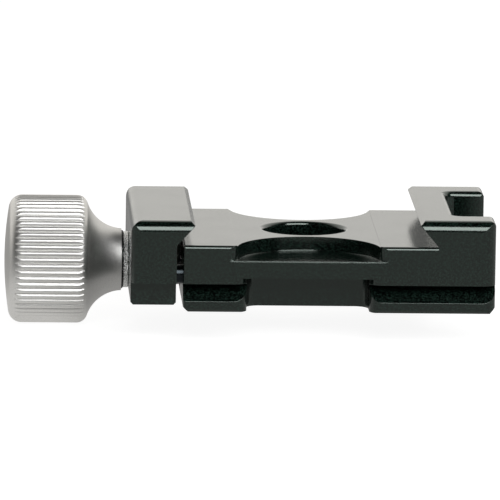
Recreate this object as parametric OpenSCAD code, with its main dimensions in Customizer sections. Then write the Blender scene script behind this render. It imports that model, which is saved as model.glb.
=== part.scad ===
// Quick release clamp with a screw knob, for a camera plate with dovetail edges.
// X runs across the channel: the knob is on the left (-X), the fixed jaw on the right (+X).
// Y runs along the channel, the front of the clamp is at -Y. The base lies on z = 0, and the
// origin is where the axis of the mounting hole meets the base.

/* [Body] */
// Width of the clamp along the channel
clamp_w = 38; // [34:0.5:60]
// Height of the deck that the plate lies on
deck_h = 10.7; // [10.2:0.1:14]
// Distance from the mounting axis to the left end of the body
body_left = 20; // [19.4:0.1:26]
// Distance from the mounting axis to the root of the fixed jaw
root_x = 20.7; // [19:0.1:30]
// Thickness of the fixed jaw at its root
fixed_jaw_t = 9.2; // [8.6:0.1:14]
// Half width of the shallow relief across the deck
relief_half_w = 11.5; // [8:0.1:16]
// Depth of the shallow relief across the deck
relief_depth = 0.1; // [0.05:0.05:0.3]

/* [Jaws] */
// Height of the movable jaw's top above the deck
jaw_rise = 3.8; // [3:0.1:6]
// Height of the fixed jaw's top above the deck
fixed_rise = 4.15; // [3:0.05:6]
// Overhang of each jaw lip
lip_reach = 2.9; // [2:0.1:4]
// Bevel on the upper edge of each lip
lip_bevel = 0.7; // [0.3:0.1:1.2]
// Radius on the front and rear corners of each lip
lip_corner_r = 0.8; // [0.2:0.1:1.2]
// Thickness of the movable jaw at its foot
jaw_t = 7.25; // [6.5:0.05:10]
// Gap between the movable jaw and the body as the clamp lies
jaw_gap = 1.05; // [0.9:0.05:3]
// Height of the movable jaw's foot above the base
jaw_foot_h = 0.7; // [0.4:0.1:1.8]
// Radius of the front and rear top edges of the jaws
jaw_edge_r = 1.65; // [0.6:0.05:2]
// Radius of the outer top edge of the movable jaw
jaw_outer_r = 1.8; // [0.6:0.1:2]
// Radius of the outer top edge of the fixed jaw
fixed_outer_r = 1.05; // [0.5:0.05:2]

/* [Notch in the fixed jaw] */
// Half width of the notch
notch_half_w = 12.2; // [8:0.1:14]
// Depth of the notch from the right end
notch_depth = 6.4; // [4:0.1:6.6]
// Radius in the inner corners of the notch
notch_r = 1.5; // [0.8:0.1:3]
// Radius on the two ears beside the notch
ear_r = 0.75; // [0.3:0.05:1.2]
// Radius on the upper edges of the notch
notch_edge_r = 0.9; // [0.3:0.1:1.2]

/* [Scallops] */
// Radius of the scallops in the front and rear of the deck
scallop_r = 11.45; // [9:0.05:13]
// Depth of the scallops from the front and rear faces
scallop_depth = 10.6; // [6:0.1:11]
// Drop from the deck to the ledge in a scallop
scallop_drop = 2.4; // [1.5:0.1:3]
// Radius where a scallop runs out into the face
scallop_fillet = 1.5; // [0.8:0.1:2.5]

/* [Base rail] */
// Height of the lip at the foot of the rail
rail_lip_h = 1.7; // [1.2:0.1:2]
// Depth of the dovetail groove above the lip
rail_depth = 2.5; // [2:0.1:2.6]
// Height of the top of the groove
groove_top_h = 4.5; // [4.3:0.1:5.2]
// Half width of the recess in the middle of the rail
recess_half_w = 9.8; // [7:0.1:10.6]
// Depth of the recess from the front and rear faces
recess_depth = 6.7; // [4.6:0.1:7.4]
// Height of the recess
recess_h = 5.45; // [4.6:0.05:6.2]
// Radius in the inner corners of the recess
recess_r = 2.2; // [1:0.1:2.4]
// Radius where the recess runs out into the face
recess_mouth_r = 2.1; // [0.6:0.1:2.2]

/* [Mounting hole] */
// Diameter of the clearance hole for an M6 screw
mount_hole_d = 6.6; // [5:0.1:8]
// Diameter of the counterbore for the screw's head
counterbore_d = 13.2; // [10:0.1:13.6]
// Height of the floor of the counterbore above the base
counterbore_floor_h = 4.2; // [3:0.1:6]
// Radius on the rim of the counterbore
counterbore_rim_r = 0.6; // [0.3:0.1:0.8]

/* [Screw, pins and spring] */
// Height of the screw and the guide pins above the base
screw_h = 5.3; // [5:0.1:6.2]
// Diameter of the clamping screw
screw_d = 6; // [5:0.1:6.6]
// Length of the clamping screw
screw_len = 33.9; // [33:0.1:34.4]
// Diameter of the guide pins
pin_d = 3; // [2:0.1:3.4]
// Length of the guide pins
pin_len = 14.5; // [12:0.1:14.6]
// Distance of each guide pin from the front or rear face
pin_inset = 5; // [4.4:0.1:8]
// Diameter of the spring's wire
wire_d = 0.6; // [0.4:0.05:0.8]
// Diameter of the pockets for the spring
pocket_d = 8.6; // [8.2:0.1:9.4]
// Depth of the spring's pocket in the body
body_pocket = 3; // [2:0.1:4]
// Depth of the spring's pocket in the movable jaw
jaw_pocket = 2; // [1:0.1:3]
// Turns of the spring
spring_turns = 4.5; // [3:0.5:6]

/* [Knob] */
// Diameter of the knob over its knurl
knob_d = 20.65; // [18:0.05:26]
// Length of the knob from the washers to its domed end
knob_len = 18.8; // [18.4:0.1:24]
// Distance from the domed end to the rear shoulder
grip_len = 13.1; // [11:0.1:13.2]
// Radius of the domed end face
dome_r = 54; // [45:1:90]
// Radius of the front edge of the grip
front_r = 2.2; // [1.2:0.1:3]
// Radius of the rear shoulder of the grip
shoulder_r = 1; // [0.6:0.1:1.1]
// Radius of the flare between the shoulder and the neck
flare_r = 6.1; // [5:0.1:7]
// Diameter of the neck at the washers
collar_d = 10; // [9.4:0.1:12]
// Grooves round the knurl
groove_n = 60; // [30:1:72]
// Depth of the knurl's grooves
groove_depth = 0.45; // [0.2:0.05:0.6]
// Outer diameter of the steel washer
washer_d = 9.05; // [8.6:0.05:9.4]
// Thickness of the steel washer
washer_t = 0.9; // [0.5:0.05:1.2]
// Outer diameter of the black sliding washer
slip_d = 9.4; // [8.6:0.1:9.8]
// Thickness of the black sliding washer
slip_t = 0.25; // [0.2:0.05:0.6]

/* [Hidden] */

$fn = 96;

// Clearances
running_gap = 0.05;
screw_gap = 0.3;
pin_end_gap = 1.3;
screw_end_gap = 1.6;
over = 1;

// Broken edges
foot_bevel = 0.4;
end_bevel = 0.9;
left_foot_bevel = 0.8;
deck_edge_r = 0.55;
left_bevel = 0.3;
corner_r = 2;
jaw_corner_r = 1.5;
small_r = 0.4;
hole_bevel = 0.3;
screw_bevel = 0.6;
pin_bevel = 0.3;
washer_bevel = 0.12;

// How far the flare would still narrow past the end of the neck
flare_past = 0.3;

// Places worked out from the sizes above
half_w = clamp_w / 2;
jaw_top = deck_h + jaw_rise;
fixed_top = deck_h + fixed_rise;
body_right = root_x + fixed_jaw_t;
notch_x = body_right - notch_depth;
ledge_h = deck_h - scallop_drop;
neck_half_w = half_w - rail_depth;
jaw_in = -body_left - jaw_gap;
jaw_out = jaw_in - jaw_t;
washer_out = jaw_out - washer_t;
collar_end = washer_out - slip_t;
knob_end = collar_end - knob_len;
knob_r = knob_d / 2;
washer_bore_d = screw_d + 0.4;

// The screw reaches through the jaw into the body, its other end sits in the knob
screw_in_knob = 14;
screw_start = collar_end - screw_in_knob;
screw_tip = screw_start + screw_len;
pin_y = half_w - pin_inset;
pin_start = jaw_out + 1.6;
pin_tip = pin_start + pin_len;
spring_start = jaw_in - jaw_pocket;
spring_len = jaw_pocket + jaw_gap + body_pocket;
spring_mid_r = (pocket_d - wire_d) / 2 - screw_gap;

// What lies outside a rounded corner, with the solid on its lower left
module corner(r) {
    difference() {
        translate([-r, -r]) square(r + over);
        translate([-r, -r]) circle(r);
    }
}

// Extrudes an outline drawn in X and Z along the whole width of the clamp
module along_y() {
    rotate([90, 0, 0]) linear_extrude(clamp_w, center = true) children();
}

// Extrudes an outline drawn in Y and Z from one place on X to another
module along_x(start, end) {
    translate([start, 0, 0]) rotate([90, 0, 90]) linear_extrude(end - start) children();
}

// Turns an outline of radius against length about the axis of the screw
module about_screw(start) {
    translate([start, 0, screw_h]) rotate([0, 90, 0]) rotate_extrude() children();
}

// A round hole or shaft along X
module rod(start, end, d, y = 0) {
    translate([start, y, screw_h]) rotate([0, 90, 0]) cylinder(d = d, h = end - start);
}

// The same shape in front and behind
module front_and_rear() {
    children();
    mirror([0, 1, 0]) children();
}

// End view of the body: a dovetail rail at the foot, rounded top edges
module body_end(top, r) {
    difference() {
        polygon([
            for (side = [1, -1])
                for (p = side > 0 ? rail_points(top) : reversed(rail_points(top)))
                    [side * p.x, p.y]
        ]);
        translate([half_w, top]) corner(r);
        translate([-half_w, top]) rotate(90) corner(r);
    }
}

// Points up the right side of the end view, from the base to the top
function rail_points(top) = [
    [half_w - foot_bevel, 0],
    [half_w, foot_bevel],
    [half_w, rail_lip_h],
    [neck_half_w, rail_lip_h + rail_depth],
    [neck_half_w, groove_top_h],
    [half_w, groove_top_h],
    [half_w, top]
];

function reversed(list) = [for (i = [len(list) - 1:-1:0]) list[i]];

// Plan of the body with its rounded corners
module body_plan() {
    difference() {
        translate([-body_left, -half_w]) square([body_left + body_right, clamp_w]);
        translate([body_right, half_w]) corner(corner_r);
        translate([body_right, -half_w]) rotate(-90) corner(corner_r);
        translate([-body_left, half_w]) rotate(90) corner(small_r);
        translate([-body_left, -half_w]) rotate(180) corner(small_r);
        notch_plan();
    }
}

// Plan of the notch that is open to the right, between two ears
module notch_plan() {
    difference() {
        translate([notch_x, -notch_half_w]) square([notch_depth + over, 2 * notch_half_w]);
        translate([notch_x, notch_half_w]) rotate(90) corner(notch_r);
        translate([notch_x, -notch_half_w]) rotate(180) corner(notch_r);
    }
    translate([body_right, notch_half_w]) rotate(-90) corner(ear_r);
    translate([body_right, -notch_half_w]) corner(ear_r);
}

// Side view of the deck
module deck_side() {
    polygon([
        [-body_left + left_foot_bevel, 0],
        [root_x + over, 0],
        [root_x + over, deck_h],
        [-body_left + left_bevel, deck_h],
        [-body_left, deck_h - left_bevel],
        [-body_left, left_foot_bevel]
    ]);
}

// Side view of the fixed jaw, with its undercut lip on the left
module fixed_jaw_side() {
    difference() {
        polygon([
            [root_x, 0],
            [body_right - end_bevel, 0],
            [body_right, end_bevel],
            [body_right, fixed_top],
            [root_x - lip_reach + lip_bevel, fixed_top],
            [root_x - lip_reach, fixed_top - lip_bevel],
            [root_x, deck_h]
        ]);
        translate([body_right, fixed_top]) corner(fixed_outer_r);
    }
}

// Plan of the fixed jaw and its lip
module fixed_jaw_plan() {
    lip_x = root_x - lip_reach;
    difference() {
        translate([lip_x, -half_w]) square([body_right - lip_x, clamp_w]);
        translate([lip_x, half_w]) rotate(90) corner(lip_corner_r);
        translate([lip_x, -half_w]) rotate(180) corner(lip_corner_r);
    }
}

// Side view of the movable jaw, with its undercut lip on the right
module movable_jaw_side() {
    difference() {
        polygon([
            [jaw_out + foot_bevel, jaw_foot_h],
            [jaw_in - foot_bevel, jaw_foot_h],
            [jaw_in, jaw_foot_h + foot_bevel],
            [jaw_in, deck_h],
            [jaw_in + lip_reach, jaw_top - lip_bevel],
            [jaw_in + lip_reach - lip_bevel, jaw_top],
            [jaw_out, jaw_top],
            [jaw_out, jaw_foot_h + foot_bevel]
        ]);
        translate([jaw_out, jaw_top]) rotate(90) corner(jaw_outer_r);
    }
}

// End view of the movable jaw: as narrow as the neck of the rail below the groove's top
module movable_jaw_end() {
    difference() {
        union() {
            translate([-neck_half_w, jaw_foot_h])
                square([2 * neck_half_w, groove_top_h - jaw_foot_h]);
            translate([-half_w, groove_top_h]) square([clamp_w, jaw_top - groove_top_h]);
        }
        translate([half_w, jaw_top]) corner(jaw_edge_r);
        translate([-half_w, jaw_top]) rotate(90) corner(jaw_edge_r);
    }
}

// Plan of the movable jaw
module movable_jaw_plan() {
    difference() {
        translate([jaw_out, -half_w]) square([jaw_t + lip_reach, clamp_w]);
        translate([jaw_out, half_w]) rotate(90) corner(jaw_corner_r);
        translate([jaw_out, -half_w]) rotate(180) corner(jaw_corner_r);
        translate([jaw_in + lip_reach, half_w]) corner(lip_corner_r);
        translate([jaw_in + lip_reach, -half_w]) rotate(-90) corner(lip_corner_r);
    }
}

// Plan of the rear scallop: an arc that runs out into the face through two fillets
module scallop_plan() {
    centre_y = half_w + scallop_r - scallop_depth;
    fillet_y = half_w - scallop_fillet;
    reach = scallop_r + scallop_fillet;
    fillet_x = sqrt(pow(reach, 2) - pow(centre_y - fillet_y, 2));
    touch_y = centre_y - (centre_y - fillet_y) * scallop_r / reach;
    translate([0, centre_y]) circle(scallop_r);
    difference() {
        translate([-fillet_x, touch_y]) square([2 * fillet_x, half_w + over - touch_y]);
        for (side = [-1, 1]) translate([side * fillet_x, fillet_y]) circle(scallop_fillet);
    }
}

// Plan of the rear recess in the base rail
module recess_plan() {
    difference() {
        translate([-recess_half_w, half_w - recess_depth])
            square([2 * recess_half_w, recess_depth + over]);
        translate([recess_half_w, half_w - recess_depth]) rotate(-90) corner(recess_r);
        translate([-recess_half_w, half_w - recess_depth]) rotate(180) corner(recess_r);
    }
    translate([recess_half_w, half_w]) rotate(90) corner(recess_mouth_r);
    translate([-recess_half_w, half_w]) corner(recess_mouth_r);
}

// Rounds the upper edge of an upright round hole
module rim(r, top, rim_r) {
    rotate_extrude() difference() {
        translate([r - over, top - rim_r]) square([rim_r + over, rim_r + over]);
        translate([r + rim_r, top - rim_r]) circle(rim_r);
    }
}

// Rounds the upper edges of the notch: its left wall, its side walls and its inner corners
module notch_rim() {
    inner_x = notch_x + notch_r;
    inner_y = notch_half_w - notch_r;
    rotate([90, 0, 0]) linear_extrude(2 * inner_y, center = true)
        translate([notch_x, fixed_top]) corner(notch_edge_r);
    front_and_rear() {
        along_x(inner_x, body_right + over)
            translate([notch_half_w, fixed_top]) rotate(90) corner(notch_edge_r);
        translate([inner_x, inner_y, 0]) rim(notch_r, fixed_top, notch_edge_r);
    }
}

// Mounting hole with its counterbore, the rim of the counterbore rounded
module mounting_hole() {
    translate([0, 0, -over]) cylinder(d = mount_hole_d, h = deck_h);
    translate([0, 0, -over])
        cylinder(d1 = mount_hole_d + 2 * (hole_bevel + over), d2 = mount_hole_d,
            h = hole_bevel + over);
    translate([0, 0, counterbore_floor_h]) cylinder(d = counterbore_d, h = deck_h);
    rim(counterbore_d / 2, deck_h - relief_depth, counterbore_rim_r);
}

module clamp_body() {
    color([0.17, 0.18, 0.17]) difference() {
        intersection() {
            union() {
                intersection() {
                    along_y() deck_side();
                    along_x(-body_left, root_x + over) body_end(deck_h, deck_edge_r);
                }
                intersection() {
                    along_y() fixed_jaw_side();
                    along_x(root_x - lip_reach, body_right) body_end(fixed_top, jaw_edge_r);
                    linear_extrude(fixed_top) fixed_jaw_plan();
                }
            }
            linear_extrude(fixed_top) body_plan();
        }
        notch_rim();
        translate([-relief_half_w, -clamp_w, deck_h - relief_depth])
            cube([2 * relief_half_w, 2 * clamp_w, relief_depth + over]);
        front_and_rear() translate([0, 0, ledge_h])
            linear_extrude(scallop_drop + over) scallop_plan();
        front_and_rear() translate([0, 0, -over])
            linear_extrude(recess_h + over) recess_plan();
        mounting_hole();
        rod(-body_left - over, screw_tip + screw_end_gap, screw_d + 2 * running_gap);
        rod(-body_left - over, -body_left + body_pocket, pocket_d);
        for (side = [-1, 1])
            rod(-body_left - over, pin_tip + pin_end_gap, pin_d + 2 * running_gap, side * pin_y);
    }
}

module movable_jaw() {
    color([0.17, 0.18, 0.17]) difference() {
        intersection() {
            along_y() movable_jaw_side();
            along_x(jaw_out, jaw_in + lip_reach) movable_jaw_end();
            linear_extrude(jaw_top) movable_jaw_plan();
        }
        rod(jaw_out - over, jaw_in + over, screw_d + 2 * screw_gap);
        rod(jaw_in - jaw_pocket, jaw_in + over, pocket_d);
        for (side = [-1, 1]) rod(pin_start, jaw_in + over, pin_d, side * pin_y);
    }
}

// Half section of the knob: radius against the distance from its domed end
module knob_section() {
    front_x = knob_r - front_r;
    front_z = front_r + dome_r - sqrt(pow(dome_r, 2) - pow(front_x, 2));
    flare_x = collar_d / 2 + sqrt(pow(flare_r, 2) - pow(flare_past, 2));
    intersection() {
        union() {
            square([front_x, grip_len]);
            translate([front_x, front_z]) circle(front_r);
            translate([0, front_z]) square([knob_r, grip_len - shoulder_r - front_z]);
            translate([knob_r - shoulder_r, grip_len - shoulder_r]) circle(shoulder_r);
            difference() {
                translate([0, front_r]) square([knob_r - shoulder_r, knob_len - front_r]);
                translate([flare_x, knob_len + flare_past]) circle(flare_r);
            }
        }
        translate([0, dome_r]) circle(dome_r);
        square([knob_r, knob_len]);
    }
}

// V-shaped grooves along the grip, which run out on its rounded ends
module knurl() {
    root_r = knob_r - groove_depth;
    open_r = knob_r + groove_depth;
    half_angle = 180 / groove_n;
    land = 0.94;
    tilt = 2 * land * half_angle;
    for (i = [0:groove_n - 1])
        rotate(i * 360 / groove_n) linear_extrude(grip_len) polygon([
            [root_r, 0],
            [open_r * cos(tilt), open_r * sin(tilt)],
            [open_r * cos(tilt), -open_r * sin(tilt)]
        ]);
}

module knob() {
    color([0.78, 0.79, 0.8]) difference() {
        about_screw(knob_end) knob_section();
        translate([knob_end, 0, screw_h]) rotate([0, 90, 0]) knurl();
        rod(screw_start, collar_end + over, screw_d);
    }
}

module clamp_screw() {
    tip_d = screw_d - 2 * screw_bevel;
    color([0.6, 0.6, 0.58]) {
        rod(screw_start, screw_tip - screw_bevel, screw_d);
        translate([screw_tip - screw_bevel, 0, screw_h]) rotate([0, 90, 0])
            cylinder(d1 = screw_d, d2 = tip_d, h = screw_bevel);
    }
}

// Flat washer with bevelled outer edges
module washer(start, d, t, bevel) {
    bore_r = washer_bore_d / 2;
    about_screw(start) polygon([
        [bore_r, 0],
        [d / 2 - bevel, 0],
        [d / 2, bevel],
        [d / 2, t - bevel],
        [d / 2 - bevel, t],
        [bore_r, t]
    ]);
}

module steel_washer() {
    color([0.85, 0.85, 0.84]) washer(washer_out, washer_d, washer_t, washer_bevel);
}

module sliding_washer() {
    color([0.06, 0.06, 0.06]) washer(collar_end, slip_d, slip_t, slip_t / 4);
}

// Guide pin, pressed into the movable jaw and running in the body
module guide_pin(y) {
    color([0.75, 0.76, 0.78]) translate([pin_start, y, screw_h]) rotate([0, 90, 0]) {
        cylinder(d1 = pin_d - 2 * pin_bevel, d2 = pin_d, h = pin_bevel);
        translate([0, 0, pin_bevel]) cylinder(d = pin_d, h = pin_len - 2 * pin_bevel);
        translate([0, 0, pin_len - pin_bevel])
            cylinder(d1 = pin_d, d2 = pin_d - 2 * pin_bevel, h = pin_bevel);
    }
}

module guide_pin_front() {
    guide_pin(-pin_y);
}

module guide_pin_rear() {
    guide_pin(pin_y);
}

// Section of a coil by a plane across its axis, as wide as the pitch makes it
module coil_section(pitch) {
    steps = 20;
    spread = 360 * wire_d / 2 / pitch;
    polygon([
        for (i = [0:steps - 1])
            let (t = i * 360 / steps, r = spring_mid_r + wire_d / 2 * sin(t), a = spread * cos(t))
            [r * cos(a), r * sin(a)]
    ]);
}

// Compression spring round the screw, with a ground ring at each end
module return_spring() {
    pitch = spring_len / spring_turns;
    ring_t = wire_d / 2;
    steps_per_turn = 16;
    color([0.7, 0.7, 0.7]) translate([spring_start, 0, screw_h]) rotate([0, 90, 0]) {
        linear_extrude(spring_len, twist = -360 * spring_turns,
            slices = spring_turns * steps_per_turn, $fn = steps_per_turn)
            coil_section(pitch);
        for (z = [0, spring_len - ring_t]) translate([0, 0, z]) difference() {
            cylinder(r = spring_mid_r + wire_d / 2, h = ring_t);
            translate([0, 0, -over]) cylinder(r = spring_mid_r - wire_d / 2, h = ring_t + 2 * over);
        }
    }
}

clamp_body();
movable_jaw();
knob();
clamp_screw();
steel_washer();
sliding_washer();
guide_pin_front();
guide_pin_rear();
return_spring();
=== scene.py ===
"""Looks of a quick release clamp round its packed frame.

The body, the jaw, the washers and the pins keep their own meshes and get finishes. The knurled
knob, the threaded screw and the coil spring are built here by rule, and a white studio is set up
round them. Sizes are in metres, X runs across the channel and the base lies on z = 0.
"""

import math

import bpy
from bpy.props import FloatProperty, FloatVectorProperty, IntProperty, PointerProperty
from mathutils import Matrix, Vector


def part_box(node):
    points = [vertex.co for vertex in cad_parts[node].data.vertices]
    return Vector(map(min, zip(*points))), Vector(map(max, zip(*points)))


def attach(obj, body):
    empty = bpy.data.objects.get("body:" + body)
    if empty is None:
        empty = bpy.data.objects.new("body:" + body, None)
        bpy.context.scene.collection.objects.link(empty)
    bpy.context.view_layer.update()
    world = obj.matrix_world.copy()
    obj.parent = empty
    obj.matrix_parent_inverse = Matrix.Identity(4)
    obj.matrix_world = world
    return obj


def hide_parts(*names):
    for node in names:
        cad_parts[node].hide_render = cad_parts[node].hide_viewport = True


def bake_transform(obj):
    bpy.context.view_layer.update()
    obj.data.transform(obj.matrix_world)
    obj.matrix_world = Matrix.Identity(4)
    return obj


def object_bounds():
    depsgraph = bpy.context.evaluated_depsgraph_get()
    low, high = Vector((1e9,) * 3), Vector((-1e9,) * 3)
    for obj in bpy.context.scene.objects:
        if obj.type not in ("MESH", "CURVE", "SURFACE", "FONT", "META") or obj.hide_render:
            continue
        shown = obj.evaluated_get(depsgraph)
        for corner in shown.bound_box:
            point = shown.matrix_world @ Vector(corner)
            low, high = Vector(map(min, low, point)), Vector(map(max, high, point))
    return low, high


bl_info = {
    "name": "Quick Release Clamp",
    "version": (1, 0, 0),
    "blender": (4, 5, 0),
    "location": "View3D > Sidebar > Clamp",
    "description": "Finishes, knurled knob, threaded screw, coil spring and studio for a clamp",
    "category": "Object",
}

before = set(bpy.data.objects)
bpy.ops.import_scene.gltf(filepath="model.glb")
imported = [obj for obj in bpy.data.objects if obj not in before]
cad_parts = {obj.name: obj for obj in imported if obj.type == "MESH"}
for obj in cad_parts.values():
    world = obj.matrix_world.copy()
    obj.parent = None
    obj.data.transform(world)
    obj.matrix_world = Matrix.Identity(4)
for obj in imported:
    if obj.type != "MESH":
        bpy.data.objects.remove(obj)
CAD_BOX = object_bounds()

KNOB_LOW, KNOB_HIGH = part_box("knob")
SCREW_LOW, SCREW_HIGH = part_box("clamp_screw")
SPRING_LOW, SPRING_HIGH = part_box("return_spring")
AXIS_H = (SCREW_LOW.z + SCREW_HIGH.z) / 2
KNOB_R = (KNOB_HIGH.z - KNOB_LOW.z) / 2
SCREW_R = (SCREW_HIGH.z - SCREW_LOW.z) / 2
FLOOR_GAP = 0.00005
FLOOR_Z = CAD_BOX[0].z - FLOOR_GAP

WHITE = (1.0, 1.0, 1.0)
BLACK = (0.0, 0.0, 0.0)
WARM_WHITE = (1.0, 0.99, 0.97)
WARM_BACKDROP = (1.0, 0.975, 0.93)

# Most values of a noise lie between these two.
NOISE_LOW, NOISE_HIGH = 0.3, 0.7
# Size of the finest grain on the metals and the nylon, in metres.
FINE_GRAIN = 0.0002
# How dark and how light the grain makes the colour of a bare metal.
METAL_DARK, METAL_LIGHT = 0.8, 1.15
# Points of a turned mesh that lie closer than this are one point, in metres.
MERGE_DISTANCE = 1e-6


def length(name, description, default):
    """A property for a length in metres."""
    return FloatProperty(
        name=name, description=description, default=default, min=0.0, precision=5,
        subtype="DISTANCE", unit="LENGTH",
    )


def share(name, description, default, highest=1.0):
    """A property for a plain factor."""
    return FloatProperty(
        name=name, description=description, default=default, min=0.0, max=highest, precision=3,
    )


def degrees(name, description, default, **limits):
    """A property for an angle, with its default in degrees."""
    return FloatProperty(
        name=name, description=description, default=math.radians(default),
        subtype="ANGLE", unit="ROTATION", **limits,
    )


def colour(name, description, default):
    """A property for a colour."""
    return FloatVectorProperty(
        name=name, description=description, default=default, min=0.0, max=1.0, subtype="COLOR",
    )


class BlackFinish(bpy.types.PropertyGroup):
    """Black anodising on the body and the movable jaw"""

    tint: colour("Tint", "Colour of the black anodising", (0.0034, 0.0076, 0.0058))
    roughness: share("Roughness", "Roughness of the blasted surface", 0.13)
    unevenness: share("Unevenness", "How far the roughness varies over the surface", 0.03)
    ior: FloatProperty(
        name="IOR", description="Refractive index of the anodised layer", default=1.75, min=1.0,
    )
    gloss: colour("Gloss", "Colour of the gloss seen straight on", (0.87, 1.0, 0.93))
    speck: length("Speck", "Size of the specks in the black", 0.00026)
    speck_gain: share("Speck gain", "How many times the tint the specks are", 3.0, 8.0)
    grain: length("Grain", "Size of the grain that blasting leaves", 0.0002)
    grain_depth: length("Grain depth", "Height of the grain", 0.000008)
    broken_edge: length("Broken edge", "Radius that the sharp edges seem to have", 0.00008)
    ledge_edge: length("Ledge edge", "Radius that the edges of the ledges seem to have", 0.0004)
    ledge_height: length("Ledge height", "Height of the ledges above the foot", 0.0083)
    ledge_half: length("Ledge half width", "Half of the width of the ledges", 0.0135)


class KnobForm(bpy.types.PropertyGroup):
    """Form and finish of the knurled knob"""

    dome_radius: length("Dome radius", "Radius of the domed end", 0.054)
    front_radius: length("Front radius", "Radius between the dome and the grip", 0.0022)
    shoulder_radius: length("Shoulder radius", "Radius of the rear shoulder", 0.0018)
    flare_radius: length("Flare radius", "Radius between the shoulder and the neck", 0.0061)
    flare_past: length("Flare past", "How far the flare would narrow past the neck", 0.0003)
    collar_radius: length("Collar radius", "Radius of the neck at the washers", 0.005)
    bore_depth: length("Bore depth", "Depth of the bore for the screw", 0.014)
    grooves: IntProperty(
        name="Grooves", description="Grooves round the knurl", default=60, min=12, max=90,
    )
    groove_depth: length("Groove depth", "Depth of the grooves", 0.00038)
    crest_power: FloatProperty(
        name="Crest fullness", description="2 is a round crest, and more is a flatter one",
        default=2.0, min=1.0, max=6.0,
    )
    knurl_phase: degrees("Knurl phase", "Turn of the knurl about the axis", 1.5, min=0.0)
    crest_blend: length("Crest blend", "Rounding where a groove meets the turned surface", 0.00002)
    tint: colour("Tint", "Colour of the clear anodising", (0.68, 0.677, 0.662))
    roughness: share("Roughness", "Roughness of the clear anodising", 0.44)


class ScrewForm(bpy.types.PropertyGroup):
    """Form and finish of the clamping screw"""

    pitch: length("Pitch", "Distance between the turns of the thread", 0.001)
    thread_depth: length("Thread depth", "Depth of the thread", 0.00061)
    thread_length: length("Thread length", "Length of the threaded end", 0.0145)
    tip_bevel: length("Tip bevel", "Bevel at the end of the screw", 0.0006)
    tint: colour("Tint", "Colour of the steel", (0.5, 0.49, 0.46))
    roughness: share("Roughness", "Roughness of the steel", 0.3)


class SpringForm(bpy.types.PropertyGroup):
    """Form and finish of the return spring"""

    wire: length("Wire", "Diameter of the wire", 0.0006)
    turns: FloatProperty(
        name="Turns", description="Turns with the closed ends", default=5.5, min=2.0, max=9.0,
    )
    closed_turns: FloatProperty(
        name="Closed turns", description="Closed turns at each end",
        default=0.75, min=0.0, max=1.5,
    )
    tint: colour("Tint", "Colour of the spring steel", (0.42, 0.42, 0.42))
    roughness: share("Roughness", "Roughness of the wire", 0.28)


class SmallParts(bpy.types.PropertyGroup):
    """Finishes of the washers and the guide pins"""

    washer_tint: colour("Washer", "Colour of the steel washer", (0.95, 0.96, 0.95))
    pin_tint: colour("Pins", "Colour of the guide pins", (0.03, 0.036, 0.04))
    slip_tint: colour("Sliding washer", "Colour of the black washer", (0.012, 0.012, 0.012))
    sparkle: length("Sparkle", "Size of the grain on the steel washer", 0.00022)


class StudioSettings(bpy.types.PropertyGroup):
    """Camera, floor and light"""

    azimuth: degrees("Azimuth", "Turn of the camera from the front", -2.42)
    elevation: degrees("Elevation", "Height of the camera above the horizon", 9.35)
    roll: degrees("Roll", "Turn of the camera about its own axis", 0.88)
    distance: length("Distance", "Distance from the camera to the object", 1.4)
    lens: FloatProperty(
        name="Lens", description="Focal length in millimetres", default=624.0, min=50.0,
    )
    aim_right: FloatProperty(
        name="Aim right", description="Image centre from the origin, to the right",
        default=-0.00853, precision=5, subtype="DISTANCE", unit="LENGTH",
    )
    aim_up: FloatProperty(
        name="Aim up", description="Image centre from the origin, upwards",
        default=0.00694, precision=5, subtype="DISTANCE", unit="LENGTH",
    )
    floor_size: length("Floor size", "Side of the floor", 7.0)
    floor_glow: share("Floor glow", "Light of the floor as the camera sees it", 0.91)
    floor_grey: share("Floor grey", "Grey of the floor as it lights the object", 0.35)
    shadow_grey: share("Shadow grey", "Grey of the floor that the shadow darkens", 0.22)
    floor_in_gloss: share("Floor in gloss", "Light of the floor as gloss shows it", 0.33)
    pool_light: share("Pool light", "Light in gloss of the floor's pool below the knob", 0.8, 4.0)
    pool_past: length("Pool past knob", "Middle of the pool from the knob's domed end", 0.012)
    pool_inner: length("Pool inner", "Radius within which the pool is even", 0.019)
    pool_outer: length("Pool outer", "Radius at which the pool ends", 0.036)
    softbox_power: FloatProperty(
        name="Softbox power", description="Power of the softbox", default=16.0, min=0.0,
        subtype="POWER", unit="POWER",
    )
    softbox_azimuth: degrees("Softbox azimuth", "Turn of the softbox from the front", 20.0)
    softbox_elevation: degrees("Softbox elevation", "Elevation of the softbox", 36.0)
    softbox_distance: length("Softbox distance", "From the softbox to the object", 1.2)
    softbox_width: length("Softbox width", "Width of the softbox", 1.2)
    softbox_height: length("Softbox height", "Height of the softbox itself", 0.8)
    backdrop: share("Backdrop", "Light of the backdrop", 1.06, 4.0)
    backdrop_top: degrees("Backdrop top", "Elevation at which the backdrop starts to fade", 46.0)
    ceiling_edge: degrees("Ceiling edge", "Elevation at which the fading ends", 70.0)
    ceiling: share("Ceiling", "Light of the ceiling", 0.02)
    room: share("Room", "Light of the room in front", 0.01)


GROUPS = {
    "clamp_black": BlackFinish,
    "clamp_knob": KnobForm,
    "clamp_screw": ScrewForm,
    "clamp_spring": SpringForm,
    "clamp_small": SmallParts,
    "clamp_studio": StudioSettings,
}


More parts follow.
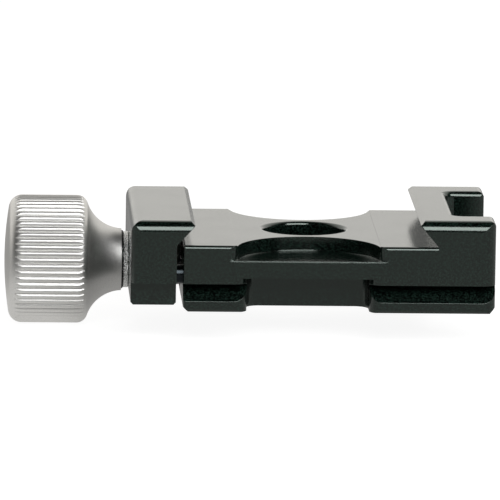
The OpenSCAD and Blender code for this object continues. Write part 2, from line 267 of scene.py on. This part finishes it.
class Net:
    """Adds nodes to one tree, from left to right in a few rows, and joins them."""

    STEP, DROP, ROWS = 190, 220, 3

    def __init__(self, tree):
        self.tree = tree
        self.count = 0

    def add(self, kind, **settings):
        """Adds a node and sets its own settings."""
        node = self.tree.nodes.new(kind)
        for name, value in settings.items():
            setattr(node, name, value)
        node.location = (self.STEP * self.count, -self.DROP * (self.count % self.ROWS))
        self.count += 1
        return node

    def feed(self, socket, value):
        """Joins a socket to another one, or sets its value."""
        if isinstance(value, bpy.types.NodeSocket):
            self.tree.links.new(value, socket)
        else:
            socket.default_value = value

    def math(self, operation, *values):
        """A Math node, as its output."""
        node = self.add("ShaderNodeMath", operation=operation)
        for socket, value in zip(node.inputs, values):
            self.feed(socket, value)
        return node.outputs[0]

    def ramp(self, value, from_low, from_high, to_low, to_high, smooth=False):
        """A Map Range node, as its output."""
        node = self.add("ShaderNodeMapRange")
        node.interpolation_type = "SMOOTHSTEP" if smooth else "LINEAR"
        for socket, number in zip(node.inputs, (value, from_low, from_high, to_low, to_high)):
            self.feed(socket, number)
        return node.outputs[0]

    def noise(self, place, size, detail=2.0, roughness=0.5):
        """Noise whose features have about the given size, as its output from 0 to 1."""
        node = self.add("ShaderNodeTexNoise")
        self.feed(node.inputs["Vector"], place)
        node.inputs["Scale"].default_value = 1 / size
        node.inputs["Detail"].default_value = detail
        node.inputs["Roughness"].default_value = roughness
        return node.outputs[0]

    def around(self, noise, middle, spread):
        """Noise turned into a value that stays within the spread of the middle."""
        return self.ramp(noise, NOISE_LOW, NOISE_HIGH, middle - spread, middle + spread)

    def bump(self, height, distance, normal=None):
        """A Bump node at full strength, as its output."""
        node = self.add("ShaderNodeBump")
        node.inputs["Strength"].default_value = 1.0
        node.inputs["Distance"].default_value = distance
        self.feed(node.inputs["Height"], height)
        if normal is not None:
            self.feed(node.inputs["Normal"], normal)
        return node.outputs[0]

    def place(self):
        """The object's own coordinates."""
        return self.add("ShaderNodeTexCoord").outputs["Object"]

    def tinted(self, amount, dark, light):
        """A colour between two others."""
        node = self.add("ShaderNodeMix", data_type="RGBA")
        self.feed(node.inputs[0], amount)
        node.inputs[6].default_value = (*dark, 1)
        node.inputs[7].default_value = (*light, 1)
        return node.outputs[2]


def new_material(name):
    """An empty material with one glossy shader, as the material, its net and its shader."""
    material = bpy.data.materials.new(name)
    material.use_nodes = True
    material.node_tree.nodes.clear()
    net = Net(material.node_tree)
    shader = net.add("ShaderNodeBsdfPrincipled")
    output = net.add("ShaderNodeOutputMaterial")
    net.feed(output.inputs["Surface"], shader.outputs[0])
    return material, net, shader


def shaded(tint, factor):
    """The colour made lighter or darker."""
    return tuple(channel * factor for channel in tint)


def edge_radius(net, place, finish):
    """The radius that the edges seem to have: larger on the ledges than anywhere else."""
    near, far, end_fade = 0.0006, 0.0009, 0.001
    parts = net.add("ShaderNodeSeparateXYZ")
    net.feed(parts.inputs[0], place)
    above = net.math("SUBTRACT", parts.outputs["Z"], finish.ledge_height)
    level = net.ramp(net.math("ABSOLUTE", above), near, far, 1.0, 0.0)
    off_middle = net.math("ABSOLUTE", parts.outputs["X"])
    across = net.ramp(off_middle, finish.ledge_half - end_fade, finish.ledge_half, 1.0, 0.0)
    on_ledge = net.math("MULTIPLY", level, across)
    return net.ramp(on_ledge, 0.0, 1.0, finish.broken_edge, finish.ledge_edge)


def black_anodised(finish):
    """Blasted aluminium under black anodising: a dark, slightly green gloss with fine grain."""
    material, net, shader = new_material("black_anodised_finish")
    smudge_size = 0.009
    speck_from, speck_full = 0.45, 0.66
    place = net.place()
    smudge = net.noise(place, smudge_size, detail=3.0)
    grain = net.noise(place, finish.grain, roughness=0.7)
    edge = net.add("ShaderNodeBevel", samples=6)
    net.feed(edge.inputs["Radius"], edge_radius(net, place, finish))
    speck = net.noise(place, finish.speck, detail=1.5, roughness=0.7)
    speck = net.ramp(speck, speck_from, speck_full, 0.0, 1.0)
    brightest = shaded(finish.tint, finish.speck_gain)
    net.feed(shader.inputs["Base Color"], net.tinted(speck, BLACK, brightest))
    rough = net.around(smudge, finish.roughness, finish.unevenness)
    net.feed(shader.inputs["Roughness"], rough)
    shader.inputs["IOR"].default_value = finish.ior
    shader.inputs["Specular Tint"].default_value = (*finish.gloss, 1)
    net.feed(shader.inputs["Normal"], net.bump(grain, finish.grain_depth, edge.outputs[0]))
    return material


def metal_colour(net, grain, tint):
    """The colour of a bare metal, a little darker and lighter with its grain."""
    return net.tinted(grain, shaded(tint, METAL_DARK), shaded(tint, METAL_LIGHT))


def plain_steel(name, tint, roughness, grain_size, grain_depth, spread=0.12):
    """Plain steel with a fine grain that changes its gloss and its colour a little."""
    material, net, shader = new_material(name)
    grain = net.noise(net.place(), grain_size, roughness=0.6)
    shader.inputs["Metallic"].default_value = 1.0
    net.feed(shader.inputs["Base Color"], metal_colour(net, grain, tint))
    net.feed(shader.inputs["Roughness"], net.around(grain, roughness, spread))
    net.feed(shader.inputs["Normal"], net.bump(grain, grain_depth))
    return material


def clear_anodised(form):
    """Turned aluminium under clear anodising: even and satin, with a fine grain."""
    material, net, shader = new_material("clear_anodised_finish")
    cloud_size, cloud_spread, grain_depth = 0.004, 0.03, 0.000006
    place = net.place()
    cloud = net.noise(place, cloud_size, detail=3.0)
    grain = net.noise(place, FINE_GRAIN, roughness=0.7)
    shader.inputs["Metallic"].default_value = 1.0
    net.feed(shader.inputs["Base Color"], metal_colour(net, grain, form.tint))
    net.feed(shader.inputs["Roughness"], net.around(cloud, form.roughness, cloud_spread))
    net.feed(shader.inputs["Normal"], net.bump(grain, grain_depth))
    return material


def matt_black(tint):
    """Black nylon of the sliding washer."""
    material, net, shader = new_material("black_nylon_finish")
    dark, light, grain_depth = 0.7, 1.3, 0.000004
    grain = net.noise(net.place(), FINE_GRAIN)
    mottled = net.tinted(grain, shaded(tint, dark), shaded(tint, light))
    net.feed(shader.inputs["Base Color"], mottled)
    shader.inputs["Roughness"].default_value = 0.55
    net.feed(shader.inputs["Normal"], net.bump(grain, grain_depth))
    return material


def put_material(piece, material):
    """Gives a piece one material."""
    slots = piece.material_slots
    if slots:
        slots[0].material = material
    else:
        piece.data.materials.append(material)


def arc(centre_x, centre_r, radius, start, end, steps):
    """Points on an arc of a half section, from one angle to another, in degrees from +X."""
    turns = [math.radians(start + (end - start) * i / steps) for i in range(steps + 1)]
    return [
        (centre_x + radius * math.cos(turn), centre_r + radius * math.sin(turn)) for turn in turns
    ]


def knob_section(form):
    """Half section of the knob from the middle of the dome to the end of its bore."""
    dome_steps, front_steps, shoulder_steps, flare_steps = 8, 12, 10, 20
    start_x, end_x = KNOB_LOW.x, KNOB_HIGH.x
    dome, front = form.dome_radius, form.front_radius
    shoulder, flare = form.shoulder_radius, form.flare_radius
    tilt = math.degrees(math.asin((KNOB_R - front) / (dome - front)))
    front_x = start_x + dome - (dome - front) * math.cos(math.radians(tilt))
    flare_x = end_x + form.flare_past
    flare_r = form.collar_radius + math.sqrt(flare**2 - form.flare_past**2)
    lean = math.degrees(math.asin((flare_r - KNOB_R + shoulder) / (flare + shoulder)))
    shoulder_x = flare_x - (flare + shoulder) * math.cos(math.radians(lean))
    last = 270 - math.degrees(math.asin(form.flare_past / flare))
    points = arc(start_x + dome, 0, dome, 180, 180 - tilt, dome_steps)
    points += arc(front_x, KNOB_R - front, front, 180 - tilt, 90, front_steps)[1:]
    points += arc(shoulder_x, KNOB_R - shoulder, shoulder, 90, lean, shoulder_steps)
    points += arc(flare_x, flare_r, flare, 180 + lean, last, flare_steps)[1:-1]
    points += [
        (end_x, form.collar_radius),
        (end_x, SCREW_R),
        (end_x - form.bore_depth, SCREW_R),
        (end_x - form.bore_depth, 0),
    ]
    return points


def screw_section(form):
    """Half section of the screw, with rows close enough along the thread to show its shape."""
    rows_per_turn = 14
    start_x, end_x = SCREW_LOW.x, SCREW_HIGH.x
    thread_x = end_x - form.thread_length
    rows = round(form.thread_length / form.pitch * rows_per_turn)
    step = (form.thread_length - form.tip_bevel) / rows
    points = [(start_x, 0), (start_x, SCREW_R)]
    points += [(thread_x + i * step, SCREW_R) for i in range(rows + 1)]
    points += [(end_x, SCREW_R - form.tip_bevel), (end_x, 0)]
    return points


def polyline(name, points):
    """An object whose mesh is one open line through the points of a half section."""
    mesh = bpy.data.meshes.new(name)
    edges = [(i, i + 1) for i in range(len(points) - 1)]
    mesh.from_pydata([(x, 0, r) for x, r in points], edges, [])
    line = bpy.data.objects.new(name, mesh)
    bpy.context.scene.collection.objects.link(line)
    return line


def new_geometry_tree(name, inputs):
    """A Geometry Nodes tree with a mesh in, a mesh out and the named inputs."""
    tree = bpy.data.node_groups.new(name, "GeometryNodeTree")
    tree.interface.new_socket("Geometry", in_out="INPUT", socket_type="NodeSocketGeometry")
    tree.interface.new_socket("Geometry", in_out="OUTPUT", socket_type="NodeSocketGeometry")
    for label, kind in inputs:
        tree.interface.new_socket(label, in_out="INPUT", socket_type=kind)
    net = Net(tree)
    return tree, net, net.add("NodeGroupInput").outputs


def finish_tree(net, geometry, material):
    """Ends a tree with smooth faces, real geometry and a material."""
    sharp_from = math.radians(28)
    angle = net.add("GeometryNodeInputMeshEdgeAngle").outputs["Unsigned Angle"]
    smooth = net.add("GeometryNodeSetShadeSmooth", domain="FACE")
    net.feed(smooth.inputs["Geometry"], geometry)
    crisp = net.add("GeometryNodeSetShadeSmooth", domain="EDGE")
    net.feed(crisp.inputs["Geometry"], smooth.outputs[0])
    net.feed(crisp.inputs["Selection"], net.math("GREATER_THAN", angle, sharp_from))
    crisp.inputs["Shade Smooth"].default_value = False
    real = net.add("GeometryNodeRealizeInstances")
    net.feed(real.inputs[0], crisp.outputs[0])
    painted = net.add("GeometryNodeSetMaterial")
    net.feed(painted.inputs["Geometry"], real.outputs[0])
    net.feed(painted.inputs["Material"], material)
    output = net.add("NodeGroupOutput")
    net.feed(output.inputs[0], painted.outputs[0])


def turned_tree(name, rule_inputs, rule):
    """A tree that turns a half section about the screw's axis.

    Each row of a grid takes its place from one point of the section. The rule is a function that
    adds nodes and gives the largest radius allowed at a place along the axis and an angle.
    """
    inputs = [("Columns", "NodeSocketInt"), ("Axis Height", "NodeSocketFloat")]
    inputs += rule_inputs + [("Material", "NodeSocketMaterial")]
    tree, net, given = new_geometry_tree(name, inputs)
    size = net.add("GeometryNodeAttributeDomainSize", component="MESH")
    net.feed(size.inputs[0], given["Geometry"])
    rows = size.outputs["Point Count"]
    grid = net.add("GeometryNodeMeshGrid")
    net.feed(grid.inputs["Vertices X"], net.math("ADD", given["Columns"], 1.0))
    net.feed(grid.inputs["Vertices Y"], rows)
    index = net.add("GeometryNodeInputIndex").outputs[0]
    row = net.math("MODULO", index, rows)
    column = net.math("FLOOR", net.math("DIVIDE", index, rows))
    place = net.add("GeometryNodeSampleIndex", data_type="FLOAT_VECTOR", domain="POINT")
    net.feed(place.inputs["Geometry"], given["Geometry"])
    net.feed(place.inputs["Value"], net.add("GeometryNodeInputPosition").outputs[0])
    net.feed(place.inputs["Index"], row)
    section = net.add("ShaderNodeSeparateXYZ")
    net.feed(section.inputs[0], place.outputs[0])
    along, radius = section.outputs["X"], section.outputs["Z"]
    angle = net.math("MULTIPLY", net.math("DIVIDE", column, given["Columns"]), math.tau)
    radius = rule(net, given, along, radius, angle)
    point = net.add("ShaderNodeCombineXYZ")
    net.feed(point.inputs["X"], along)
    net.feed(point.inputs["Y"], net.math("MULTIPLY", radius, net.math("SINE", angle)))
    height = net.math("MULTIPLY", radius, net.math("COSINE", angle))
    net.feed(point.inputs["Z"], net.math("ADD", height, given["Axis Height"]))
    moved = net.add("GeometryNodeSetPosition")
    net.feed(moved.inputs["Geometry"], grid.outputs["Mesh"])
    net.feed(moved.inputs["Position"], point.outputs[0])
    joined = net.add("GeometryNodeMergeByDistance")
    net.feed(joined.inputs["Geometry"], moved.outputs[0])
    joined.inputs["Distance"].default_value = MERGE_DISTANCE
    finish_tree(net, joined.outputs[0], given["Material"])
    return tree


def knurl_rule(net, given, along, radius, angle):
    """Round crests along the grip, with a sharp root between each two of them."""
    half_pitch = net.math("DIVIDE", math.pi, given["Grooves"])
    turned = net.math("ADD", angle, given["Phase"])
    from_root = net.math("DIVIDE", net.math("PINGPONG", turned, half_pitch), half_pitch)
    from_crest = net.math("SUBTRACT", 1.0, from_root)
    fall = net.math("POWER", from_crest, given["Crest Fullness"])
    cut = net.math("MULTIPLY", given["Groove Depth"], fall)
    wall = net.math("SUBTRACT", given["Grip Radius"], cut)
    lowest = net.math("SMOOTH_MIN", radius, wall, given["Crest Blend"])
    return net.math("MINIMUM", radius, lowest)


def thread_rule(net, given, along, radius, angle):
    """A thread along the screw's end, with flat crests and roots and a shallow first turn."""
    crest_end, root_start = 0.12, 0.75
    lead_start, lead_rate = 0.1, 1.4
    turns = net.math("DIVIDE", net.math("SUBTRACT", along, given["Thread Start"]), given["Pitch"])
    phase = net.math("SUBTRACT", turns, net.math("DIVIDE", angle, math.tau))
    wave = net.math("MULTIPLY", net.math("PINGPONG", phase, 0.5), 2.0)
    flank = net.ramp(wave, crest_end, root_start, 0.0, 1.0)
    ahead = net.math("MULTIPLY", net.math("SUBTRACT", turns, lead_start), lead_rate)
    lead_in = net.ramp(ahead, 0.0, 1.0, 0.0, 1.0)
    cut = net.math("MULTIPLY", given["Thread Depth"], net.math("MULTIPLY", flank, lead_in))
    return net.math("MINIMUM", radius, net.math("SUBTRACT", given["Outer Radius"], cut))


def spring_tree():
    """A tree that winds a closed-end coil spring round the screw's axis from a straight line."""
    tree, net, given = new_geometry_tree(
        "Coil Spring",
        [
            ("Turns", "NodeSocketFloat"),
            ("Closed Turns", "NodeSocketFloat"),
            ("Coil Radius", "NodeSocketFloat"),
            ("Wire Diameter", "NodeSocketFloat"),
            ("Start", "NodeSocketFloat"),
            ("End", "NodeSocketFloat"),
            ("Axis Height", "NodeSocketFloat"),
            ("Material", "NodeSocketMaterial"),
        ],
    )
    points_per_turn, sides_of_wire = 28, 14
    line = net.add("GeometryNodeCurvePrimitiveLine")
    rod = net.add("GeometryNodeResampleCurve", mode="COUNT")
    net.feed(rod.inputs["Curve"], line.outputs[0])
    net.feed(rod.inputs["Count"], net.math("MULTIPLY", given["Turns"], float(points_per_turn)))
    share_along = net.add("GeometryNodeSplineParameter").outputs["Factor"]
    turn = net.math("MULTIPLY", share_along, given["Turns"])
    angle = net.math("MULTIPLY", turn, math.tau)
    last = net.math("SUBTRACT", given["Turns"], given["Closed Turns"])
    half_wire = net.math("MULTIPLY", given["Wire Diameter"], 0.5)
    first_x = net.math("ADD", given["Start"], half_wire)
    last_x = net.math("SUBTRACT", given["End"], half_wire)
    point = net.add("ShaderNodeCombineXYZ")
    net.feed(point.inputs["X"], net.ramp(turn, given["Closed Turns"], last, first_x, last_x))
    aside = net.math("MULTIPLY", given["Coil Radius"], net.math("SINE", angle))
    net.feed(point.inputs["Y"], aside)
    height = net.math("MULTIPLY", given["Coil Radius"], net.math("COSINE", angle))
    net.feed(point.inputs["Z"], net.math("ADD", height, given["Axis Height"]))
    wound = net.add("GeometryNodeSetPosition")
    net.feed(wound.inputs["Geometry"], rod.outputs[0])
    net.feed(wound.inputs["Position"], point.outputs[0])
    ring = net.add("GeometryNodeCurvePrimitiveCircle")
    ring.inputs["Resolution"].default_value = sides_of_wire
    net.feed(ring.inputs["Radius"], half_wire)
    wire = net.add("GeometryNodeCurveToMesh")
    net.feed(wire.inputs["Curve"], wound.outputs[0])
    net.feed(wire.inputs["Profile Curve"], ring.outputs[0])
    wire.inputs["Fill Caps"].default_value = True
    finish_tree(net, wire.outputs[0], given["Material"])
    return tree


def grow(seed, tree, values, name):
    """Runs a tree on an object and keeps the result as a plain mesh object."""
    modifier = seed.modifiers.new(tree.name, "NODES")
    modifier.node_group = tree
    for socket in tree.interface.items_tree:
        if socket.in_out == "INPUT" and socket.name in values:
            modifier[socket.identifier] = values[socket.name]
    seed.update_tag()
    depsgraph = bpy.context.evaluated_depsgraph_get()
    mesh = bpy.data.meshes.new_from_object(seed.evaluated_get(depsgraph))
    mesh.name = name
    seed.modifiers.remove(modifier)
    bpy.data.objects.remove(seed)
    if not mesh.polygons:
        raise RuntimeError(f"the tree {tree.name} made no faces")
    piece = bpy.data.objects.new(name, mesh)
    bpy.context.scene.collection.objects.link(piece)
    return piece


class CLAMP_OT_black_parts(bpy.types.Operator):
    """Gives the body and the movable jaw their black anodising"""

    bl_idname = "clamp.black_parts"
    bl_label = "Black parts"

    def execute(self, context):
        finish = black_anodised(context.scene.clamp_black)
        for node in ("clamp_body", "movable_jaw"):
            put_material(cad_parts[node], finish)
        return {"FINISHED"}


class CLAMP_OT_knob(bpy.types.Operator):
    """Turns the knob from its half section and cuts its knurl"""

    bl_idname = "clamp.knob"
    bl_label = "Knob"

    def execute(self, context):
        form = context.scene.clamp_knob
        columns_per_groove = 8
        tree = turned_tree(
            "Knurled Knob",
            [
                ("Grooves", "NodeSocketInt"),
                ("Groove Depth", "NodeSocketFloat"),
                ("Crest Fullness", "NodeSocketFloat"),
                ("Phase", "NodeSocketFloat"),
                ("Grip Radius", "NodeSocketFloat"),
                ("Crest Blend", "NodeSocketFloat"),
            ],
            knurl_rule,
        )
        values = {
            "Columns": form.grooves * columns_per_groove,
            "Axis Height": AXIS_H,
            "Grooves": form.grooves,
            "Groove Depth": form.groove_depth,
            "Crest Fullness": form.crest_power,
            "Phase": form.knurl_phase,
            "Grip Radius": KNOB_R,
            "Crest Blend": form.crest_blend,
            "Material": clear_anodised(form),
        }
        section = polyline("knob_section", knob_section(form))
        piece = grow(section, tree, values, "knurled_knob")
        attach(piece, "knob")
        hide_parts("knob")
        return {"FINISHED"}


class CLAMP_OT_screw(bpy.types.Operator):
    """Turns the clamping screw and cuts its thread"""

    bl_idname = "clamp.screw"
    bl_label = "Clamping screw"

    def execute(self, context):
        form = context.scene.clamp_screw
        columns = 48
        tree = turned_tree(
            "Threaded Screw",
            [
                ("Thread Start", "NodeSocketFloat"),
                ("Pitch", "NodeSocketFloat"),
                ("Thread Depth", "NodeSocketFloat"),
                ("Outer Radius", "NodeSocketFloat"),
            ],
            thread_rule,
        )
        steel = plain_steel(
            "screw_steel_finish", form.tint, form.roughness,
            grain_size=0.0003, grain_depth=0.000004,
        )
        values = {
            "Columns": columns,
            "Axis Height": AXIS_H,
            "Thread Start": SCREW_HIGH.x - form.thread_length,
            "Pitch": form.pitch,
            "Thread Depth": form.thread_depth,
            "Outer Radius": SCREW_R,
            "Material": steel,
        }
        section = polyline("screw_section", screw_section(form))
        piece = grow(section, tree, values, "threaded_screw")
        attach(piece, "knob")
        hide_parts("clamp_screw")
        return {"FINISHED"}


class CLAMP_OT_spring(bpy.types.Operator):
    """Winds the return spring between the body and the movable jaw"""

    bl_idname = "clamp.spring"
    bl_label = "Return spring"

    def execute(self, context):
        form = context.scene.clamp_spring
        steel = plain_steel(
            "spring_steel_finish", form.tint, form.roughness,
            grain_size=FINE_GRAIN, grain_depth=0.000003,
        )
        values = {
            "Turns": form.turns,
            "Closed Turns": form.closed_turns,
            "Coil Radius": (SPRING_HIGH.z - SPRING_LOW.z - form.wire) / 2,
            "Wire Diameter": form.wire,
            "Start": SPRING_LOW.x,
            "End": SPRING_HIGH.x,
            "Axis Height": AXIS_H,
            "Material": steel,
        }
        seed = polyline("spring_seed", [(SPRING_LOW.x, 0), (SPRING_HIGH.x, 0)])
        piece = grow(seed, spring_tree(), values, "coil_spring")
        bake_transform(piece)
        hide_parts("return_spring")
        return {"FINISHED"}


class CLAMP_OT_small_parts(bpy.types.Operator):
    """Gives the washers and the guide pins their finishes"""

    bl_idname = "clamp.small_parts"
    bl_label = "Washers and pins"

    def execute(self, context):
        small = context.scene.clamp_small
        washer = plain_steel(
            "washer_steel_finish", small.washer_tint, roughness=0.3,
            grain_size=small.sparkle, grain_depth=0.00025, spread=0.1,
        )
        pins = plain_steel(
            "pin_steel_finish", small.pin_tint, roughness=0.2,
            grain_size=0.0003, grain_depth=0.000002, spread=0.05,
        )
        finishes = {
            "steel_washer": (washer, "washer_steel"),
            "sliding_washer": (matt_black(small.slip_tint), "black_nylon"),
            "guide_pin_front": (pins, "pin_steel"),
            "guide_pin_rear": (pins, "pin_steel"),
        }
        for node, (material, slot) in finishes.items():
            put_material(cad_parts[node], material)
        return {"FINISHED"}


def floor_material(studio):
    """A floor that is white to the camera with a faint shadow, and is darker in gloss.

    In gloss it has a brighter pool below the knob, which lights the lower side of the grip.
    """
    material = bpy.data.materials.new("studio_floor")
    material.use_nodes = True
    material.node_tree.nodes.clear()
    net = Net(material.node_tree)
    rays = net.add("ShaderNodeLightPath")
    plain = net.add("ShaderNodeBsdfDiffuse")
    plain.inputs["Color"].default_value = (*shaded(WHITE, studio.floor_grey), 1)
    glow = net.add("ShaderNodeEmission")
    glow.inputs["Strength"].default_value = studio.floor_glow
    away = net.add("ShaderNodeVectorMath", operation="DISTANCE")
    net.feed(away.inputs[0], net.place())
    away.inputs[1].default_value = (KNOB_LOW.x - studio.pool_past, 0, FLOOR_Z)
    lit = net.ramp(
        away.outputs["Value"], studio.pool_inner, studio.pool_outer,
        studio.pool_light, studio.floor_in_gloss, smooth=True,
    )
    sheen = net.add("ShaderNodeEmission")
    sheen.inputs["Color"].default_value = (*WARM_WHITE, 1)
    net.feed(sheen.inputs["Strength"], lit)
    shadow = net.add("ShaderNodeBsdfDiffuse")
    shadow.inputs["Color"].default_value = (*shaded(WHITE, studio.shadow_grey), 1)
    seen = net.add("ShaderNodeAddShader")
    net.feed(seen.inputs[0], glow.outputs[0])
    net.feed(seen.inputs[1], shadow.outputs[0])
    in_gloss = net.add("ShaderNodeMixShader")
    net.feed(in_gloss.inputs[0], rays.outputs["Is Glossy Ray"])
    net.feed(in_gloss.inputs[1], plain.outputs[0])
    net.feed(in_gloss.inputs[2], sheen.outputs[0])
    both = net.add("ShaderNodeMixShader")
    net.feed(both.inputs[0], rays.outputs["Is Camera Ray"])
    net.feed(both.inputs[1], in_gloss.outputs[0])
    net.feed(both.inputs[2], seen.outputs[0])
    output = net.add("ShaderNodeOutputMaterial")
    net.feed(output.inputs["Surface"], both.outputs[0])
    return material


def studio_world(studio):
    """A white backdrop that ends overhead, a dark room in front, and plain white to the camera."""
    world = bpy.data.worlds.new("studio")
    world.use_nodes = True
    world.node_tree.nodes.clear()
    net = Net(world.node_tree)
    direction = net.add("ShaderNodeTexCoord").outputs["Generated"]
    parts = net.add("ShaderNodeSeparateXYZ")
    net.feed(parts.inputs[0], direction)
    room_end, backdrop_full = -0.1, 0.5
    low, high = math.sin(studio.backdrop_top), math.sin(studio.ceiling_edge)
    upwards = net.ramp(parts.outputs["Z"], low, high, studio.backdrop, studio.ceiling, smooth=True)
    backwards = net.ramp(
        parts.outputs["Y"], room_end, backdrop_full, studio.room, 1.0, smooth=True
    )
    light = net.math("MULTIPLY", upwards, backwards)
    to_camera = net.add("ShaderNodeLightPath").outputs["Is Camera Ray"]
    background = net.add("ShaderNodeBackground")
    net.feed(background.inputs["Color"], net.tinted(to_camera, WARM_BACKDROP, WHITE))
    net.feed(background.inputs["Strength"], net.math("MAXIMUM", light, to_camera))
    output = net.add("ShaderNodeOutputWorld")
    net.feed(output.inputs["Surface"], background.outputs[0])
    return world


def direction_to(azimuth, elevation):
    """Unit vector from the object to a place at an azimuth from the front and an elevation."""
    flat = math.cos(elevation)
    return Vector((math.sin(azimuth) * flat, -math.cos(azimuth) * flat, math.sin(elevation)))


def add_softbox(studio):
    """A large lamp in front of the object and above it, turned towards the origin."""
    lamp = bpy.data.lights.new("softbox", "AREA")
    lamp.shape = "RECTANGLE"
    lamp.size, lamp.size_y = studio.softbox_width, studio.softbox_height
    lamp.energy = studio.softbox_power
    box = bpy.data.objects.new("softbox", lamp)
    bpy.context.scene.collection.objects.link(box)
    box.visible_camera = False
    away = direction_to(studio.softbox_azimuth, studio.softbox_elevation)
    box.location = away * studio.softbox_distance
    box.rotation_mode = "QUATERNION"
    box.rotation_quaternion = (-away).to_track_quat("-Z", "Y")


def add_camera(studio):
    """The camera at the photograph's angle, aimed at a point beside the origin."""
    data = bpy.data.cameras.new("camera")
    data.lens = studio.lens
    data.sensor_width = 36.0
    data.clip_start, data.clip_end = 0.05, 40.0
    camera = bpy.data.objects.new("camera", data)
    bpy.context.scene.collection.objects.link(camera)
    back = direction_to(studio.azimuth, studio.elevation)
    turn = (-back).to_track_quat("-Z", "Y").to_matrix() @ Matrix.Rotation(studio.roll, 3, "Z")
    target = turn @ Vector((studio.aim_right, studio.aim_up, 0))
    camera.rotation_mode = "QUATERNION"
    camera.rotation_quaternion = turn.to_quaternion()
    camera.location = target + back * studio.distance
    bpy.context.scene.camera = camera


def add_floor(studio):
    """A flat floor under the lowest point of the object."""
    half = studio.floor_size / 2
    corners = [(-half, -half), (half, -half), (half, half), (-half, half)]
    mesh = bpy.data.meshes.new("studio_floor")
    mesh.from_pydata([(x, y, FLOOR_Z) for x, y in corners], [], [(0, 1, 2, 3)])
    floor = bpy.data.objects.new("studio_floor", mesh)
    bpy.context.scene.collection.objects.link(floor)
    put_material(floor, floor_material(studio))


class CLAMP_OT_stage(bpy.types.Operator):
    """Sets up the camera, the floor and the light"""

    bl_idname = "clamp.stage"
    bl_label = "Studio"

    def execute(self, context):
        studio = context.scene.clamp_studio
        context.scene.view_settings.view_transform = "Standard"
        context.scene.world = studio_world(studio)
        add_camera(studio)
        add_floor(studio)
        add_softbox(studio)
        return {"FINISHED"}


class VIEW3D_PT_clamp(bpy.types.Panel):
    """Sizes, colours and building steps of the clamp"""

    bl_label = "Clamp"
    bl_space_type = "VIEW_3D"
    bl_region_type = "UI"
    bl_category = "Clamp"

    def draw(self, context):
        for name, group in GROUPS.items():
            box = self.layout.box()
            box.label(text=group.__doc__)
            for field in group.__annotations__:
                box.prop(getattr(context.scene, name), field)
        for operator in OPERATORS:
            self.layout.operator(operator.bl_idname)


OPERATORS = (
    CLAMP_OT_stage,
    CLAMP_OT_black_parts,
    CLAMP_OT_knob,
    CLAMP_OT_screw,
    CLAMP_OT_spring,
    CLAMP_OT_small_parts,
)


def register():
    """Registers the settings, the operators and the panel."""
    for name, group in GROUPS.items():
        bpy.utils.register_class(group)
        setattr(bpy.types.Scene, name, PointerProperty(type=group))
    for item in OPERATORS + (VIEW3D_PT_clamp,):
        bpy.utils.register_class(item)


def unregister():
    """Removes what register added."""
    for item in reversed(OPERATORS + (VIEW3D_PT_clamp,)):
        bpy.utils.unregister_class(item)
    for name, group in reversed(list(GROUPS.items())):
        delattr(bpy.types.Scene, name)
        bpy.utils.unregister_class(group)


def main():
    """Builds everything in order."""
    register()
    bpy.ops.clamp.stage()
    bpy.ops.clamp.black_parts()
    bpy.ops.clamp.knob()
    bpy.ops.clamp.screw()
    bpy.ops.clamp.spring()
    bpy.ops.clamp.small_parts()


if __name__ == "__main__":
    main()
